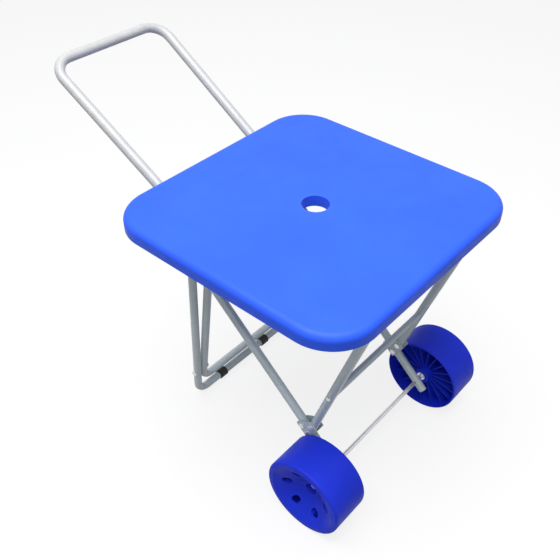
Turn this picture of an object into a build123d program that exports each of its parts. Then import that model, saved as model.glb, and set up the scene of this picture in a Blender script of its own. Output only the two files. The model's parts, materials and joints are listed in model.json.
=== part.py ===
from build123d import *
import os
from math import asin, atan2, cos, degrees, hypot, radians, sin, tan

# Folding beach cart with a square plastic table.
# Millimetres. X runs along the axle, Y runs back towards the handle, Z is up.
# Heights are above the ground. Lengths along Y are first set from the middle
# of the table, and every piece is shifted at the end, so that the origin is
# the bottom centre of the whole cart.

# ---- Driving dimensions ----
table_width = 500.0
table_length = 490.0
table_height = 500.0
table_skirt = 26.0
table_skin = 4.0
table_corner_radius = 80.0
table_edge_radius = 12.0
table_dimple_radius = 48.0
table_dimple_depth = 1.6
umbrella_hole_radius = 24.0
umbrella_collar_wall = 4.0
umbrella_collar_length = 22.0
rib_depth = 14.0
rib_wall = 3.0

frame_tube_diameter = 15.9
frame_tube_wall = 1.2
handle_tube_diameter = 19.05
handle_tube_wall = 1.5
main_tube_lane = 135.0
lane_gap = 1.6

wheel_radius = 77.5
wheel_width = 80.0
wheel_inner_face = 149.0
wheel_wall = 3.0
wheel_outer_round = 5.0
wheel_inner_round = 3.0
dish_radius = 66.0
dish_floor_radius = 17.0
dish_depth = 27.0
dish_hole_radius = 8.5
dish_hole_ring = 43.0
dish_hole_count = 6
hub_radius = 16.0
hub_recess_radius = 11.5
hub_recess_depth = 17.0
hub_inner_end = 152.0
wheel_rib_count = 18
wheel_rib_wall = 2.2
wheel_rib_setback = 16.0
wheel_rib_sink = 0.5

axle_diameter = 8.0
axle_y = -172.5
washer_thickness = 1.2
washer_radius = 8.5
pivot_washer_radius = 7.0
push_nut_radius = 8.0
push_nut_length = 5.0
push_nut_dome = 1.5
push_nut_round = 2.5
axle_end_past_nut = 2.0

main_tube_angle = 42.0
main_tube_below_axle = 22.0
main_pivot_run = 424.5
tube_end_past_pivot = 12.0
plug_stem_length = 8.0
plug_flange = 1.5

foot_y = 184.0
foot_leg_lean = 2.4
foot_bend_radius = 26.0
foot_pivot_height = 72.0
handle_pivot_height = 429.0
sleeve_diameter = 20.0
sleeve_length = 20.0
sleeve_place = 65.5
sleeve_edge = 0.8
stay_below_pivot = 36.0
stay_bend_radius = 24.0

handle_angle = 30.7
handle_length = 400.0
handle_bend_radius = 38.0
handle_flare = 12.0

front_pivot_run = 86.0
front_pivot_clearance = 5.1
front_tube_angle = 107.5
stretcher_run = 106.0
stretcher_diameter = 12.7
stretcher_wall = 1.2
stretcher_insert = 14.0
stretcher_screw_length = 28.0

bracket_sheet = 1.5
bracket_length = 34.0
bracket_overhang = 1.5
bracket_shoulder = 2.0
pin_radius = 3.0
pin_head_radius = 5.5
pin_head_height = 2.0
table_hinge_drop = 9.5
hinge_sheet = 2.0
hinge_length = 34.0
hinge_flange = 10.0
hinge_pad_depth = 6.0
screw_radius = 2.0
screw_head_radius = 3.8
screw_head_height = 2.0
screw_length = 8.0

running_gap = 0.05
slip_gap = 0.3
axle_gap = 0.1
notch_gap = 1.6
notch_reach = 12.0
folded_gap = 2.0

# ---- Worked-out places ----
tube_radius = frame_tube_diameter / 2
handle_radius = handle_tube_diameter / 2
axle_radius = axle_diameter / 2
sleeve_radius = sleeve_diameter / 2
front_pivot_offset = frame_tube_diameter + front_pivot_clearance
stay_lane = main_tube_lane - frame_tube_diameter - lane_gap
handle_lane = main_tube_lane - tube_radius - handle_radius - lane_gap
axle_z = wheel_radius
foot_z = sleeve_radius
foot_angle = 90.0 + foot_leg_lean


def along(point, angle, distance):
    """A point (y, z) moved in the side view."""
    return (point[0] + distance * cos(radians(angle)), point[1] + distance * sin(radians(angle)))


def handle_lane_at(distance):
    """The handle's legs spread a little from their pivot to the bar."""
    return handle_lane + handle_flare * distance / handle_length


axle_point = (axle_y, axle_z)
main_pivot = along(axle_point, main_tube_angle, main_pivot_run)
foot_point = (foot_y, foot_z)
foot_pivot = along(foot_point, foot_angle, (foot_pivot_height - foot_z) / cos(radians(foot_leg_lean)))
handle_pivot = along(foot_point, foot_angle, (handle_pivot_height - foot_z) / cos(radians(foot_leg_lean)))
handle_bar = along(handle_pivot, handle_angle, handle_length)
bracket_point = along(axle_point, main_tube_angle, front_pivot_run)
front_pivot = along(bracket_point, main_tube_angle + 90, front_pivot_offset)
skirt_bottom = table_height - table_skirt
hinge_z = skirt_bottom - table_hinge_drop
front_tube_length = (hinge_z - front_pivot[1]) / sin(radians(front_tube_angle))
table_hinge = along(front_pivot, front_tube_angle, front_tube_length)
stretcher_point = along(front_pivot, front_tube_angle, stretcher_run)

stay_length = hypot(foot_pivot[0] - main_pivot[0], foot_pivot[1] - main_pivot[1])
stay_angle = degrees(atan2(foot_pivot[1] - main_pivot[1], foot_pivot[0] - main_pivot[0]))
stay_bar = along(foot_pivot, stay_angle, stay_below_pivot)

# Angles that each joint turns through, from the open table to the folded cart.
front_fold = front_tube_angle - main_tube_angle
stay_folded_slant = degrees(asin((frame_tube_diameter + folded_gap) / stay_length))
stay_fold = stay_angle - (main_tube_angle - 180 + stay_folded_slant)
foot_fold = (foot_angle - main_tube_angle) - stay_fold
handle_fold = (foot_angle - main_tube_angle) + (main_tube_angle - handle_angle)
table_fold = front_fold + main_tube_angle

hinge_ear_span = frame_tube_diameter + 2 * slip_gap
hinge_base_width = hinge_ear_span + 2 * hinge_sheet + 2 * hinge_flange
hinge_base_top = table_height - table_skin - hinge_pad_depth

origin_y = (axle_y - wheel_radius + handle_bar[0] + handle_radius) / 2

wheel_outer_face = wheel_inner_face + wheel_width
push_nut_start = wheel_outer_face - dish_depth - hub_recess_depth + washer_thickness + 2 * slip_gap
axle_end = push_nut_start + push_nut_length + axle_end_past_nut

sides = {"left": -1, "right": 1}
stand = (Align.CENTER, Align.CENTER, Align.MIN)
hang = (Align.CENTER, Align.CENTER, Align.MAX)


# ---- Building blocks ----
def side_frame(x, point, angle):
    """A place whose local Z runs along a tube in the side view."""
    return Plane(
        origin=(x, point[0], point[1]),
        x_dir=(1, 0, 0),
        z_dir=(0, cos(radians(angle)), sin(radians(angle))),
    ).location


def cross_rod(radius, x_from, x_to, point):
    """A rod that runs along X."""
    low, high = min(x_from, x_to), max(x_from, x_to)
    place = Plane(origin=(low, point[0], point[1]), x_dir=(0, 1, 0), z_dir=(1, 0, 0)).location
    return place * Cylinder(radius, high - low, align=stand)


def cross_tube(outer, inner, x_from, x_to, point):
    """A ring or tube that runs along X."""
    return cross_rod(outer, x_from, x_to, point) - cross_rod(inner, x_from, x_to, point)


def straight_tube(x, point, angle, length, radius, wall):
    """A round tube from a point, at an angle in the side view."""
    solid = Cylinder(radius, length, align=stand)
    solid -= Cylinder(radius - wall, length, align=stand)
    return side_frame(x, point, angle) * solid


def bent_tube(lane, end_lane, bar, angle, length, radius, wall, bend):
    """A U of tube: its bar lies along X at a point, its legs run at an angle to their own lane."""
    path = FilletPolyline((-end_lane, length), (-lane, 0), (lane, 0), (end_lane, length), radius=bend)
    start = Plane(origin=path @ 0, z_dir=path % 0)
    solid = sweep(start * Circle(radius), path=path) - sweep(start * Circle(radius - wall), path=path)
    c, s = cos(radians(angle)), sin(radians(angle))
    place = Plane(origin=(0, bar[0], bar[1]), x_dir=(1, 0, 0), z_dir=(0, -s, c)).location
    return place * solid


def pin(x_from, x_to, point):
    """A rivet along X with a flat head past each end."""
    solid = cross_rod(pin_radius, x_from - pin_head_height, x_to + pin_head_height, point)
    solid += cross_rod(pin_head_radius, x_from - pin_head_height, x_from, point)
    solid += cross_rod(pin_head_radius, x_to, x_to + pin_head_height, point)
    return solid


def pin_hole(x, half_width, point):
    """The hole that a rivet turns in."""
    return cross_rod(pin_radius + running_gap, x - half_width, x + half_width, point)


def ring_between(lane_a, radius_a, lane_b, radius_b, point):
    """A washer between two tubes that lie side by side."""
    low, high = sorted((lane_a, lane_b))
    r_low, r_high = (radius_a, radius_b) if lane_a < lane_b else (radius_b, radius_a)
    x_from, x_to = low + r_low + slip_gap, high - r_high - slip_gap
    return cross_tube(pivot_washer_radius, pin_radius + running_gap, x_from, x_to, point)


# ---- Tabletop ----
def tabletop():
    """Square moulded top: a skin with a skirt, ribs, hinge pads and an umbrella collar."""
    outline = RectangleRounded(table_width, table_length, table_corner_radius)
    body = Pos(0, 0, skirt_bottom) * extrude(outline, table_skirt)
    body = fillet(body.faces().sort_by(Axis.Z)[-1].edges(), table_edge_radius)
    inside = RectangleRounded(
        table_width - 2 * table_skin, table_length - 2 * table_skin, table_corner_radius - table_skin
    )
    hollow = Pos(0, 0, skirt_bottom) * extrude(inside, table_skirt - table_skin)
    round_inside = table_edge_radius - table_skin
    hollow = fillet(hollow.faces().sort_by(Axis.Z)[-1].edges(), round_inside)
    body -= hollow
    under = table_height - table_skin
    rib_span_x = table_width - 2 * table_skin - 2 * round_inside
    rib_span_y = table_length - 2 * table_skin - 2 * round_inside
    for rib_y in (-table_length / 4, 0, table_length / 4):
        body += Pos(0, rib_y, under - rib_depth / 2) * Box(rib_span_x, rib_wall, rib_depth)
    for rib_x in (-table_width / 3, 0, table_width / 3):
        body += Pos(rib_x, 0, under - rib_depth / 2) * Box(rib_wall, rib_span_y, rib_depth)
    for side in sides.values():
        pad = Box(hinge_base_width, hinge_length, hinge_pad_depth)
        body += Pos(side * main_tube_lane, table_hinge[0], under - hinge_pad_depth / 2) * pad
    collar_radius = umbrella_hole_radius + umbrella_collar_wall
    collar_place = Pos(0, 0, table_height - umbrella_collar_length)
    body += collar_place * Cylinder(collar_radius, umbrella_collar_length - table_skin, align=stand)
    dimple_ball = (table_dimple_radius**2 + table_dimple_depth**2) / (2 * table_dimple_depth)
    body -= Pos(0, 0, table_height - table_dimple_depth + dimple_ball) * Sphere(dimple_ball)
    body -= collar_place * Cylinder(umbrella_hole_radius, umbrella_collar_length, align=stand)
    for side in sides.values():
        notch_width = handle_tube_diameter + 2 * notch_gap
        rear = table_length / 2
        crossing = handle_pivot[1] + (rear - handle_pivot[0]) * tan(radians(handle_angle))
        lane = handle_lane_at((rear - handle_pivot[0]) / cos(radians(handle_angle)))
        notch_top = crossing + handle_radius / cos(radians(handle_angle)) + notch_gap
        notch_depth = notch_top - skirt_bottom
        notch = Box(notch_width, 2 * notch_reach, notch_depth, align=stand)
        body -= Pos(side * lane, rear, skirt_bottom) * notch
        for x, y in hinge_screw_places(side):
            body -= Pos(x, y, under - hinge_pad_depth) * Cylinder(
                screw_radius + running_gap, screw_length - hinge_sheet + slip_gap, align=stand
            )
    return body


def hinge_screw_places(side):
    """The two screws of one hinge, one on each flange."""
    reach = hinge_ear_span / 2 + hinge_sheet + hinge_flange / 2
    return [(side * main_tube_lane + step * reach, table_hinge[0]) for step in (-1, 1)]


def table_hinge_bracket(side):
    """A folded sheet under the table: a base with two ears for the front tube."""
    x = side * main_tube_lane
    base = Pos(x, table_hinge[0], hinge_base_top) * Box(
        hinge_base_width, hinge_length, hinge_sheet, align=hang
    )
    ear_depth = hinge_base_top - table_hinge[1]
    for step in (-1, 1):
        ear_x = x + step * (hinge_ear_span + hinge_sheet) / 2
        base += Pos(ear_x, table_hinge[0], hinge_base_top) * Box(
            hinge_sheet, 2 * tube_radius, ear_depth, align=hang
        )
        base += cross_rod(tube_radius, ear_x - hinge_sheet / 2, ear_x + hinge_sheet / 2, table_hinge)
    for place in hinge_screw_places(side):
        base -= Pos(place[0], place[1], hinge_base_top) * Cylinder(
            screw_radius + running_gap, 3 * hinge_sheet
        )
    return base - pin_hole(x, hinge_base_width, table_hinge)


def hinge_screws():
    """Pan-head screws that hold the hinges up against the table's pads."""
    screws = []
    for side in sides.values():
        for x, y in hinge_screw_places(side):
            seat = hinge_base_top - hinge_sheet
            shank = Pos(x, y, seat) * Cylinder(screw_radius, screw_length, align=stand)
            head = Pos(x, y, seat - screw_head_height) * Cylinder(
                screw_head_radius, screw_head_height, align=stand
            )
            screws.append(shank + head)
    return screws


# ---- Wheels ----
def wheel(side):
    """Moulded wheel: open and ribbed on the inside, dished with round holes outside."""
    profile_outer = Cylinder(wheel_radius, wheel_width)
    profile_outer = fillet(profile_outer.edges().sort_by(Axis.Z)[-1], wheel_outer_round)
    profile_outer = fillet(profile_outer.edges().sort_by(Axis.Z)[0], wheel_inner_round)
    top = wheel_width / 2
    dish = Pos(0, 0, top) * Cone(dish_floor_radius, dish_radius, dish_depth, align=hang)
    rim_inside = wheel_radius - wheel_wall
    hollow_height = wheel_width - wheel_wall
    hollow = Pos(0, 0, -top) * Cylinder(rim_inside, hollow_height, align=stand)
    slope = atan2(dish_depth, dish_radius - dish_floor_radius)
    shell_grow = wheel_wall / sin(slope)
    shell = Pos(0, 0, top) * Cone(
        dish_floor_radius + shell_grow, dish_radius + shell_grow, dish_depth, align=hang
    )
    shell += Pos(0, 0, top - dish_depth) * Cylinder(dish_floor_radius + shell_grow, wheel_wall, align=hang)
    body = profile_outer - (hollow - shell) - dish
    hub_low = hub_inner_end - wheel_inner_face - top
    body += Pos(0, 0, hub_low) * Cylinder(hub_radius, top - dish_depth - hub_low, align=stand)
    rib_low = -top + wheel_rib_setback
    rib_height = wheel_width - wheel_rib_setback - wheel_wall
    rib_limit = Cylinder(rim_inside + wheel_wall / 2, rib_height, align=stand)
    ribs = None
    for i in range(wheel_rib_count):
        blade = Box(
            rim_inside + wheel_rib_sink,
            wheel_rib_wall,
            rib_height,
            align=(Align.MIN, Align.CENTER, Align.MIN),
        )
        blade = Rot(0, 0, 360 * i / wheel_rib_count) * blade
        ribs = blade if ribs is None else ribs + blade
    dish_and_below = Pos(0, 0, top) * Cone(
        dish_floor_radius + shell_grow / 2, dish_radius + shell_grow / 2, dish_depth, align=hang
    )
    ribs = Pos(0, 0, rib_low) * (ribs & rib_limit) - dish_and_below
    body += ribs
    for i in range(dish_hole_count):
        hole = Cylinder(dish_hole_radius, dish_depth)
        place = Rot(0, 0, 360 * (i + 0.5) / dish_hole_count) * Pos(dish_hole_ring, 0, top - dish_depth / 2)
        body -= place * hole
    recess_top = Pos(0, 0, top - dish_depth)
    body -= recess_top * Cylinder(hub_recess_radius, hub_recess_depth, align=hang)
    body -= Cylinder(axle_radius + running_gap, 2 * wheel_width)
    middle = wheel_inner_face + wheel_width / 2
    place = Plane(
        origin=(side * middle, axle_y, axle_z), x_dir=(0, 0, 1), z_dir=(side, 0, 0)
    ).location
    return place * body


def axle_rod():
    """Plain rod that the wheels turn on."""
    return cross_rod(axle_radius, -axle_end, axle_end, axle_point)


def axle_washers():
    """One washer on each side of each hub."""
    bore = axle_radius + running_gap
    rings = []
    for side in sides.values():
        for seat in (hub_inner_end, push_nut_start):
            start, end = side * (seat - slip_gap - washer_thickness), side * (seat - slip_gap)
            rings.append(cross_tube(washer_radius, bore, start, end, axle_point))
    return rings


def push_nuts():
    """Domed caps pressed on the two ends of the axle."""
    caps = []
    for side in sides.values():
        cap = cross_rod(push_nut_radius, side * push_nut_start, side * (axle_end + push_nut_dome), axle_point)
        cap = fillet(cap.edges().sort_by(Axis.X)[-1 if side > 0 else 0], push_nut_round)
        cap -= cross_rod(axle_radius + running_gap / 2, 0, side * axle_end, axle_point)
        caps.append(cap)
    return caps


# ---- Main frame ----
def main_tube(side):
    """Long tube that runs from past the axle up to the pivot under the table."""
    x = side * main_tube_lane
    start = along(axle_point, main_tube_angle, -main_tube_below_axle)
    length = main_tube_below_axle + main_pivot_run + tube_end_past_pivot
    tube = straight_tube(x, start, main_tube_angle, length, tube_radius, frame_tube_wall)
    tube -= cross_rod(axle_radius + axle_gap, x - tube_radius * 2, x + tube_radius * 2, axle_point)
    tube -= pin_hole(x, 2 * tube_radius, main_pivot)
    for point in bracket_rivet_points():
        tube -= pin_hole(x, 2 * tube_radius, point)
    return tube


def bracket_rivet_points():
    """Where the two rivets of a channel go through the main tube."""
    return [along(bracket_point, main_tube_angle, step * bracket_length / 4) for step in (-1, 1)]


def tube_plug(x, point, angle):
    """Moulded plug that closes a tube's end: a short stem and a thin flange."""
    stem = Cylinder(tube_radius - frame_tube_wall - running_gap, plug_stem_length, align=hang)
    flange = Cylinder(tube_radius, plug_flange, align=stand)
    return side_frame(x, point, angle) * (stem + flange)


def main_tube_plugs():
    """One plug in each end of both main tubes; the upper ones clear the pivot rod."""
    plugs = []
    for side in sides.values():
        x = side * main_tube_lane
        low = along(axle_point, main_tube_angle, -main_tube_below_axle)
        high = along(main_pivot, main_tube_angle, tube_end_past_pivot)
        plugs.append(tube_plug(x, low, main_tube_angle + 180))
        plugs.append(tube_plug(x, high, main_tube_angle).cut(pin_hole(x, 2 * tube_radius, main_pivot)))
    return plugs


def lower_bracket(side):
    """Folded channel: it wraps under the main tube and holds the front tube's pivot."""
    x = side * main_tube_lane
    half = bracket_length / 2
    under = -tube_radius - running_gap
    cheek_top = front_pivot_offset + tube_radius + bracket_overhang
    shoulder = tube_radius - bracket_shoulder
    crown = tube_radius + bracket_overhang
    outline = Polyline(
        (-half, under),
        (half, under),
        (half, shoulder),
        (crown, cheek_top),
        (-crown, cheek_top),
        (-half, shoulder),
        close=True,
    )
    cheek = extrude(make_face(outline), bracket_sheet / 2, both=True)
    inner = tube_radius + running_gap * 2
    channel = Pos(0, 0, inner + bracket_sheet / 2) * cheek
    channel += Pos(0, 0, -inner - bracket_sheet / 2) * cheek
    web_align = (Align.CENTER, Align.MAX, Align.CENTER)
    web = Box(bracket_length, bracket_sheet, 2 * (inner + bracket_sheet), align=web_align)
    channel += Pos(0, under, 0) * web
    c, s = cos(radians(main_tube_angle)), sin(radians(main_tube_angle))
    place = Plane(origin=(x, bracket_point[0], bracket_point[1]), x_dir=(0, c, s), z_dir=(1, 0, 0)).location
    channel = place * channel
    for point in bracket_rivet_points():
        channel -= pin_hole(x, 2 * tube_radius, point)
    return channel - pin_hole(x, 2 * tube_radius, front_pivot)


def bracket_rivets():
    """Two rivets through each channel and main tube."""
    reach = tube_radius + 2 * running_gap + bracket_sheet
    rivets = []
    for side in sides.values():
        x = side * main_tube_lane
        for point in bracket_rivet_points():
            rivets.append(pin(x - reach, x + reach, point))
    return rivets


def main_pivot_rod():
    """Long rod that ties the two sides together and carries the stay."""
    reach = main_tube_lane + tube_radius + running_gap
    return pin(-reach, reach, main_pivot)


def main_pivot_washers():
    """Washers between the main tubes and the stay."""
    return [
        ring_between(side * main_tube_lane, tube_radius, side * stay_lane, tube_radius, main_pivot)
        for side in sides.values()
    ]


# ---- Front frame ----
def front_tube(side):
    """Front leg, from its channel on the main tube up to the table's front hinge."""
    x = side * main_tube_lane
    start = along(front_pivot, front_tube_angle, -tube_radius)
    length = front_tube_length + 2 * tube_radius
    tube = straight_tube(x, start, front_tube_angle, length, tube_radius, frame_tube_wall)
    tube -= pin_hole(x, 2 * tube_radius, front_pivot)
    tube -= pin_hole(x, 2 * tube_radius, table_hinge)
    tube -= cross_rod(screw_radius + running_gap, x - 2 * tube_radius, x + 2 * tube_radius, stretcher_point)
    return tube


def front_stretcher():
    """Tube across the front legs."""
    reach = main_tube_lane - tube_radius - slip_gap / 2
    bar = cross_tube(
        stretcher_diameter / 2, stretcher_diameter / 2 - stretcher_wall, -reach, reach, stretcher_point
    )
    for side in sides.values():
        bar += cross_tube(
            stretcher_diameter / 2 - stretcher_wall / 2,
            screw_radius + running_gap,
            side * (reach - stretcher_insert),
            side * reach,
            stretcher_point,
        )
    return bar


def stretcher_screws():
    """One screw through each front leg into the end of the stretcher."""
    screws = []
    for side in sides.values():
        seat = main_tube_lane + tube_radius + running_gap
        shank = cross_rod(screw_radius, side * (seat - stretcher_screw_length), side * seat, stretcher_point)
        head = cross_rod(screw_head_radius, side * seat, side * (seat + screw_head_height), stretcher_point)
        screws.append(shank + head)
    return screws


def front_pivot_pins():
    """Rivets that the front legs turn on in their channels."""
    reach = tube_radius + 2 * running_gap + bracket_sheet + running_gap
    return [
        pin(side * main_tube_lane - reach, side * main_tube_lane + reach, front_pivot)
        for side in sides.values()
    ]


def table_hinge_pins():
    """Rivets that the table turns on at the front legs' upper ends."""
    reach = hinge_ear_span / 2 + hinge_sheet + running_gap
    return [
        pin(side * main_tube_lane - reach, side * main_tube_lane + reach, table_hinge)
        for side in sides.values()
    ]


# ---- Stay, foot and handle ----
def stay_frame():
    """Inner U: its legs hang from the main pivot and cross the foot's legs."""
    length = stay_length + stay_below_pivot + tube_end_past_pivot
    tube = bent_tube(
        stay_lane,
        stay_lane,
        stay_bar,
        stay_angle + 180,
        length,
        tube_radius,
        frame_tube_wall,
        stay_bend_radius,
    )
    for side in sides.values():
        tube -= pin_hole(side * stay_lane, 2 * tube_radius, main_pivot)
        tube -= pin_hole(side * stay_lane, 2 * tube_radius, foot_pivot)
    return tube


def foot_frame():
    """Outer U: its bar is the rear foot on the ground."""
    length = (handle_pivot_height - foot_z) / cos(radians(foot_leg_lean)) + tube_end_past_pivot
    tube = bent_tube(
        main_tube_lane,
        main_tube_lane,
        foot_point,
        foot_angle,
        length,
        tube_radius,
        frame_tube_wall,
        foot_bend_radius,
    )
    for side in sides.values():
        tube -= pin_hole(side * main_tube_lane, 2 * tube_radius, foot_pivot)
        tube -= pin_hole(side * main_tube_lane, 2 * tube_radius, handle_pivot)
    return tube


def foot_sleeve(side):
    """Rubber sleeve on the foot bar."""
    middle = side * sleeve_place
    sleeve = cross_rod(sleeve_radius, middle - sleeve_length / 2, middle + sleeve_length / 2, foot_point)
    sleeve = chamfer(sleeve.edges().filter_by(GeomType.CIRCLE), sleeve_edge)
    bore = tube_radius + running_gap
    return sleeve - cross_rod(bore, middle - sleeve_length, middle + sleeve_length, foot_point)


def side_pins(lane_in, radius_in, point):
    """Rivets through an inner tube and the outer tube beside it."""
    pins = []
    for side in sides.values():
        inner_end = side * (lane_in - radius_in - slip_gap)
        outer_end = side * (main_tube_lane + tube_radius + running_gap)
        pins.append(pin(min(inner_end, outer_end), max(inner_end, outer_end), point))
    return pins


def foot_pivot_washers():
    """Washers between the foot's legs and the stay."""
    return [
        ring_between(side * main_tube_lane, tube_radius, side * stay_lane, tube_radius, foot_pivot)
        for side in sides.values()
    ]


def handle():
    """Wide U of larger tube: the bar at its far end is gripped to pull the cart."""
    tube = bent_tube(
        handle_lane_at(handle_length),
        handle_lane_at(-tube_end_past_pivot),
        handle_bar,
        handle_angle + 180,
        handle_length + tube_end_past_pivot,
        handle_radius,
        handle_tube_wall,
        handle_bend_radius,
    )
    for side in sides.values():
        tube -= pin_hole(side * handle_lane, 2 * handle_radius, handle_pivot)
    return tube


def handle_pivot_washers():
    """Washers between the foot's legs and the handle."""
    return [
        ring_between(side * main_tube_lane, tube_radius, side * handle_lane, handle_radius, handle_pivot)
        for side in sides.values()
    ]


# ---- The whole cart ----
def build():
    """Every piece of the cart, by the name of its node."""
    nodes = {
        "tabletop": tabletop(),
        "hinge_screws": hinge_screws(),
        "table_hinge_pins": table_hinge_pins(),
        "axle_rod": axle_rod(),
        "axle_washers": axle_washers(),
        "axle_push_nuts": push_nuts(),
        "main_tube_plugs": main_tube_plugs(),
        "lower_bracket_rivets": bracket_rivets(),
        "main_pivot_rod": main_pivot_rod(),
        "main_pivot_washers": main_pivot_washers(),
        "front_stretcher": front_stretcher(),
        "stretcher_screws": stretcher_screws(),
        "front_pivot_pins": front_pivot_pins(),
        "stay_frame": stay_frame(),
        "foot_frame": foot_frame(),
        "foot_pivot_pins": side_pins(stay_lane, tube_radius, foot_pivot),
        "foot_pivot_washers": foot_pivot_washers(),
        "handle_tube": handle(),
        "handle_pivot_pins": side_pins(handle_lane, handle_radius, handle_pivot),
        "handle_pivot_washers": handle_pivot_washers(),
    }
    for name, side in sides.items():
        nodes["wheel_" + name] = wheel(side)
        nodes["main_tube_" + name] = main_tube(side)
        nodes["lower_bracket_" + name] = lower_bracket(side)
        nodes["front_tube_" + name] = front_tube(side)
        nodes["table_hinge_bracket_" + name] = table_hinge_bracket(side)
        nodes["foot_sleeve_" + name] = foot_sleeve(side)
    return nodes


def main():
    os.makedirs("parts", exist_ok=True)
    for name, shape in build().items():
        pieces = shape if isinstance(shape, list) else [shape]
        solids = [solid for piece in pieces for solid in piece.solids()]
        moved = [Pos(0, -origin_y, 0) * solid for solid in solids]
        export_step(moved[0] if len(moved) == 1 else Compound(children=moved), "parts/" + name + ".step")


main()
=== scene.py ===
import json
from math import cos, radians, sin

import bpy
from mathutils import Matrix, Vector

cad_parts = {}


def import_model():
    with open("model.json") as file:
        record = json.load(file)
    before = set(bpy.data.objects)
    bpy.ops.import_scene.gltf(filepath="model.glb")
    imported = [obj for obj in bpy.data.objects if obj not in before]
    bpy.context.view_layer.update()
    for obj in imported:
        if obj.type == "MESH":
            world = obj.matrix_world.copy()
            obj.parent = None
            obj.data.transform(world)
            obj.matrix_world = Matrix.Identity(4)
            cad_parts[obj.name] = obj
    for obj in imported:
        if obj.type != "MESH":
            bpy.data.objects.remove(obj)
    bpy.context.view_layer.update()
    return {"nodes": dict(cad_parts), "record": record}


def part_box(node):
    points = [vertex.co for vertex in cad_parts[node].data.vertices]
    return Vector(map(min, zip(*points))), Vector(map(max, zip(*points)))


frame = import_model()

# ---- Camera, in metres, degrees and millimetres of lens ----
view_azimuth = -49.27
view_elevation = 40.39
view_roll = 0.41
eye_from_table = Vector((-0.809, -0.620, 0.698))
sensor_width = 36.0
lens_length = 47.6

# ---- Floor and light ----
floor_size = 30.0
floor_drop = 0.0005
floor_shades = (0.93, 0.95)
floor_roughness = 0.9
floor_specular = 0.1
floor_glow = 0.82
floor_bounce = 0.16
sky_light = 0.33
sky_colour = (0.95, 0.97, 1.0, 1)
white = (1, 1, 1, 1)
light_aim = (0.0, -0.1, 0.3)
# Each lamp's name, place, width and power in watts.
lamps = (
    ("overhead", (-0.4, -0.1, 2.6), 2.0, 78.0),
    ("front_fill", (-2.2, -1.6, 1.6), 1.8, 7.0),
)

# ---- Base colours ----
table_blue = (0.03, 0.115, 0.93)
wheel_blue = (0.016, 0.042, 0.76)
handle_grey = (0.47, 0.475, 0.48)
frame_grey = (0.62, 0.71, 0.73)
bracket_grey = (0.56, 0.65, 0.67)
zinc_grey = (0.74, 0.74, 0.75)
plug_grey = (0.48, 0.54, 0.56)
nylon_white = (0.80, 0.80, 0.76)
rubber_black = (0.010, 0.010, 0.011)
rubber_dust = (0.035, 0.034, 0.033)

# Pointiness where the painted highlight on an edge starts, and where it is full.
painted_highlight_start = 0.52
painted_highlight_full = 0.62


# ---- Nodes ----
def new_material(name):
    """A new node material, its tree and its shader."""
    material = bpy.data.materials.new(name)
    material.use_nodes = True
    tree = material.node_tree
    return material, tree, tree.nodes["Principled BSDF"]


def link(tree, source, output, target, socket):
    """Joins a node's output to another node's socket, both by name."""
    tree.links.new(source.outputs[output], target.inputs[socket])


def noise(tree, scale, detail):
    """A noise texture in the frame's own metres."""
    place = tree.nodes.new("ShaderNodeTexCoord")
    texture = tree.nodes.new("ShaderNodeTexNoise")
    texture.inputs["Scale"].default_value = scale
    texture.inputs["Detail"].default_value = detail
    link(tree, place, "Object", texture, "Vector")
    return texture


def ramp(tree, source, stops):
    """A colour ramp: stops are (place, colour)."""
    node = tree.nodes.new("ShaderNodeValToRGB")
    points = node.color_ramp.elements
    while len(points) < len(stops):
        points.new(0.5)
    for point, (place, colour) in zip(points, stops):
        point.position = place
        point.color = (*colour, 1.0)
    tree.links.new(source, node.inputs["Fac"])
    return node


def scaled(colour, factor):
    """A lighter or darker colour, never past full strength."""
    return tuple(min(1.0, channel * factor) for channel in colour)


def grey(value):
    """The same amount of red, green and blue."""
    return (value, value, value)


def mottled(tree, texture, colour, stops):
    """A colour that varies with a noise: stops are (place, share of the colour)."""
    shades = [(place, scaled(colour, share)) for place, share in stops]
    return ramp(tree, texture.outputs["Fac"], shades)


def uneven_gloss(tree, shader, texture, stops):
    """Roughness that varies with a noise: stops are (place, roughness)."""
    rough = ramp(tree, texture.outputs["Fac"], [(place, grey(value)) for place, value in stops])
    link(tree, rough, "Color", shader, "Roughness")


def bump(tree, shader, textures):
    """Chained bumps: textures are (node, strength, distance in metres)."""
    previous = None
    for texture, strength, distance in textures:
        node = tree.nodes.new("ShaderNodeBump")
        node.inputs["Strength"].default_value = strength
        node.inputs["Distance"].default_value = distance
        link(tree, texture, "Fac", node, "Height")
        if previous:
            link(tree, previous, "Normal", node, "Normal")
        previous = node
    link(tree, previous, "Normal", shader, "Normal")


def painted_edge_highlight(tree, base, highlit, amount):
    """The base colour, turning to a lighter one on sharp outer edges: a painted highlight."""
    geometry = tree.nodes.new("ShaderNodeNewGeometry")
    mask = ramp(
        tree, geometry.outputs["Pointiness"], [(painted_highlight_start, grey(0.0)), (painted_highlight_full, grey(amount))]
    )
    mix = tree.nodes.new("ShaderNodeMix")
    mix.data_type = "RGBA"
    tree.links.new(mask.outputs["Color"], mix.inputs["Factor"])
    tree.links.new(base, mix.inputs["A"])
    mix.inputs["B"].default_value = (*highlit, 1.0)
    return mix.outputs["Result"]


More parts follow.
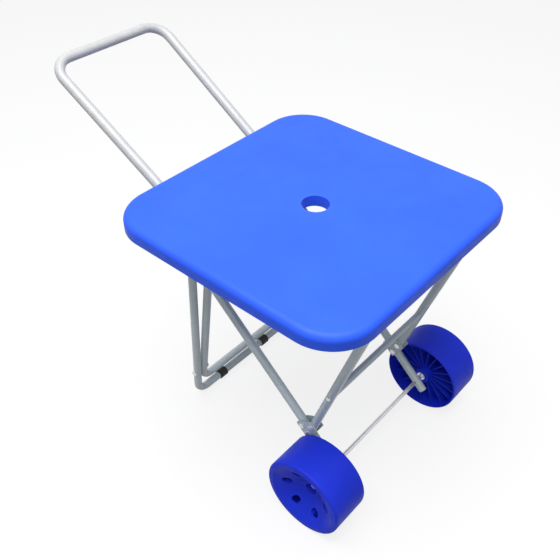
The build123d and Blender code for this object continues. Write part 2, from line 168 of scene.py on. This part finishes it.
# ---- Materials ----
def moulded_plastic(name, colour, roughness, grain_scale, grain_depth, specular=0.5):
    """Moulded plastic: cloudy colour, fine grain, a slow waviness and a painted highlight on its
    edges.
    """
    material, tree, shader = new_material(name)
    tint = mottled(tree, noise(tree, scale=9.0, detail=4.0), colour, [(0.3, 0.93), (0.7, 1.06)])
    # Sharp outer edges get a lighter copy of the colour: a painted highlight.
    highlit = painted_edge_highlight(tree, tint.outputs["Color"], scaled(colour, 1.25), amount=0.35)
    tree.links.new(highlit, shader.inputs["Base Color"])
    smear = noise(tree, scale=38.0, detail=5.0)
    uneven_gloss(tree, shader, smear, [(0.3, roughness * 0.88), (0.7, roughness * 1.12)])
    grain = noise(tree, scale=grain_scale, detail=2.0)
    wave = noise(tree, scale=14.0, detail=1.0)
    bump(tree, shader, [(grain, 0.35, grain_depth), (wave, 0.25, 0.0006)])
    shader.inputs["Specular IOR Level"].default_value = specular
    return material


def tube_paint(name, colour, roughness):
    """Sprayed paint on steel tube: orange peel, faint mottling and a few rubbed spots."""
    material, tree, shader = new_material(name)
    tint = mottled(
        tree, noise(tree, scale=45.0, detail=5.0), colour, [(0.3, 0.94), (0.66, 1.04), (0.74, 0.86)]
    )
    link(tree, tint, "Color", shader, "Base Color")
    smear = noise(tree, scale=120.0, detail=3.0)
    uneven_gloss(tree, shader, smear, [(0.3, roughness * 0.85), (0.7, roughness * 1.15)])
    orange_peel = noise(tree, scale=900.0, detail=2.0)
    bump(tree, shader, [(orange_peel, 0.15, 0.0001)])
    shader.inputs["Coat Weight"].default_value = 0.25
    shader.inputs["Coat Roughness"].default_value = 0.25
    return material


def plated_steel(name, colour):
    """Zinc plate: small spangle and uneven shine."""
    material, tree, shader = new_material(name)
    spangle = noise(tree, scale=260.0, detail=4.0)
    tint = mottled(tree, spangle, colour, [(0.3, 0.88), (0.7, 1.05)])
    link(tree, tint, "Color", shader, "Base Color")
    uneven_gloss(tree, shader, spangle, [(0.25, 0.26), (0.75, 0.42)])
    bump(tree, shader, [(noise(tree, scale=1400.0, detail=2.0), 0.12, 0.00006)])
    shader.inputs["Metallic"].default_value = 0.75
    return material


def black_rubber(name):
    """Matt moulded rubber with a dusty bloom."""
    material, tree, shader = new_material(name)
    dust = noise(tree, scale=90.0, detail=6.0)
    tint = ramp(tree, dust.outputs["Fac"], [(0.35, rubber_black), (0.75, rubber_dust)])
    link(tree, tint, "Color", shader, "Base Color")
    uneven_gloss(tree, shader, dust, [(0.3, 0.62), (0.7, 0.82)])
    bump(tree, shader, [(noise(tree, scale=1600.0, detail=2.0), 0.3, 0.00015)])
    return material


def make_finishes():
    """One material for each material slot."""
    return {
        "table_plastic": moulded_plastic(
            "table_plastic",
            table_blue,
            roughness=0.45,
            grain_scale=1500.0,
            grain_depth=0.00012,
            specular=0.18,
        ),
        "wheel_plastic": moulded_plastic(
            "wheel_plastic",
            wheel_blue,
            roughness=0.5,
            grain_scale=1100.0,
            grain_depth=0.00015,
            specular=0.15,
        ),
        "handle_paint": tube_paint("handle_paint", handle_grey, roughness=0.36),
        "frame_paint": tube_paint("frame_paint", frame_grey, roughness=0.36),
        "bracket_paint": tube_paint("bracket_paint", bracket_grey, roughness=0.40),
        "zinc_steel": plated_steel("zinc_steel", zinc_grey),
        "black_rubber": black_rubber("black_rubber"),
        "plug_plastic": moulded_plastic(
            "plug_plastic", plug_grey, roughness=0.5, grain_scale=1800.0, grain_depth=0.0001
        ),
        "nylon": moulded_plastic(
            "nylon", nylon_white, roughness=0.45, grain_scale=1600.0, grain_depth=0.00008
        ),
    }


def paint_nodes():
    """Gives every CAD node the finish of its material slot."""
    finishes = make_finishes()
    for part in frame["record"]["subparts"]:
        node = frame["nodes"][part["node"]]
        node.data.materials.clear()
        node.data.materials.append(finishes[part["material_slot"]])


# ---- Stage ----
def seen_rays(tree):
    """1 for a ray from the camera or off gloss or glass, 0 for one that only lights things."""
    path = tree.nodes.new("ShaderNodeLightPath")
    total = path.outputs["Is Camera Ray"]
    for kind in ("Is Glossy Ray", "Is Transmission Ray"):
        adder = tree.nodes.new("ShaderNodeMath")
        adder.operation = "ADD"
        adder.use_clamp = True
        tree.links.new(total, adder.inputs[0])
        tree.links.new(path.outputs[kind], adder.inputs[1])
        total = adder.outputs["Value"]
    return total


def mix_shaders(tree, share, first, second):
    """Blends two shaders: share is a number or a socket, 0 for the first and 1 for the second."""
    mix = tree.nodes.new("ShaderNodeMixShader")
    if isinstance(share, float):
        mix.inputs["Fac"].default_value = share
    else:
        tree.links.new(share, mix.inputs["Fac"])
    tree.links.new(first, mix.inputs[1])
    tree.links.new(second, mix.inputs[2])
    return mix.outputs["Shader"]


def floor_material():
    """Pale and mostly glowing to the eye, so that it looks white, and dim as a source of light."""
    material, tree, shader = new_material("floor")
    cloud = noise(tree, scale=3.0, detail=2.0)
    darker, lighter = floor_shades
    tint = ramp(tree, cloud.outputs["Fac"], [(0.3, grey(darker)), (0.7, grey(lighter))])
    link(tree, tint, "Color", shader, "Base Color")
    shader.inputs["Roughness"].default_value = floor_roughness
    shader.inputs["Specular IOR Level"].default_value = floor_specular
    glow = tree.nodes.new("ShaderNodeEmission")
    glow.inputs["Strength"].default_value = 1.0
    seen = mix_shaders(tree, floor_glow, shader.outputs["BSDF"], glow.outputs["Emission"])
    dim = tree.nodes.new("ShaderNodeBsdfDiffuse")
    dim.inputs["Color"].default_value = (*grey(floor_bounce), 1.0)
    surface = mix_shaders(tree, seen_rays(tree), dim.outputs["BSDF"], seen)
    tree.links.new(surface, tree.nodes["Material Output"].inputs["Surface"])
    return material


def floor():
    """A wide pale floor at the cart's feet."""
    half = floor_size / 2
    corners = [(-half, -half, 0), (half, -half, 0), (half, half, 0), (-half, half, 0)]
    mesh = bpy.data.meshes.new("floor")
    mesh.from_pydata(corners, [], [(0, 1, 2, 3)])
    mesh.materials.append(floor_material())
    plane = bpy.data.objects.new("floor", mesh)
    plane.location.z = -floor_drop
    bpy.context.scene.collection.objects.link(plane)


def background(tree, colour, strength):
    """A background shader for the surroundings."""
    node = tree.nodes.new("ShaderNodeBackground")
    node.inputs["Color"].default_value = colour
    node.inputs["Strength"].default_value = strength
    return node.outputs["Background"]


def world():
    """White surroundings: full white to the eye, softer as light."""
    surroundings = bpy.data.worlds.new("surroundings")
    bpy.context.scene.world = surroundings
    surroundings.use_nodes = True
    tree = surroundings.node_tree
    tree.nodes.clear()
    light = background(tree, sky_colour, sky_light)
    seen = background(tree, white, 1.0)
    output = tree.nodes.new("ShaderNodeOutputWorld")
    tree.links.new(mix_shaders(tree, seen_rays(tree), light, seen), output.inputs["Surface"])


def soft_box(name, place, size, power):
    """A square area light that faces the cart."""
    data = bpy.data.lights.new(name, "AREA")
    data.shape = "SQUARE"
    data.size = size
    data.energy = power
    lamp = bpy.data.objects.new(name, data)
    lamp.location = place
    lamp.rotation_euler = (Vector(light_aim) - Vector(place)).to_track_quat("-Z", "Y").to_euler()
    bpy.context.scene.collection.objects.link(lamp)


def camera():
    """Stands at its offset from the table's middle, and looks down along the view."""
    low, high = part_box("tabletop")
    table_middle = Vector(((low[0] + high[0]) / 2, (low[1] + high[1]) / 2, high[2]))
    azimuth, elevation, roll = radians(view_azimuth), radians(view_elevation), radians(view_roll)
    back = Vector((sin(azimuth) * cos(elevation), -cos(azimuth) * cos(elevation), sin(elevation)))
    right = Vector((cos(azimuth), sin(azimuth), 0.0))
    up = back.cross(right)
    side_axis = cos(roll) * right + sin(roll) * up
    up_axis = cos(roll) * up - sin(roll) * right
    data = bpy.data.cameras.new("camera")
    data.sensor_width = sensor_width
    data.lens = lens_length
    eye = bpy.data.objects.new("camera", data)
    turn = Matrix((side_axis, up_axis, back)).transposed().to_4x4()
    eye.matrix_world = Matrix.Translation(table_middle + eye_from_table) @ turn
    bpy.context.scene.collection.objects.link(eye)
    bpy.context.scene.camera = eye


paint_nodes()
floor()
world()
for name, place, size, power in lamps:
    soft_box(name, place, size, power)
camera()
bpy.context.scene.view_settings.view_transform = "Standard"
bpy.context.view_layer.update()
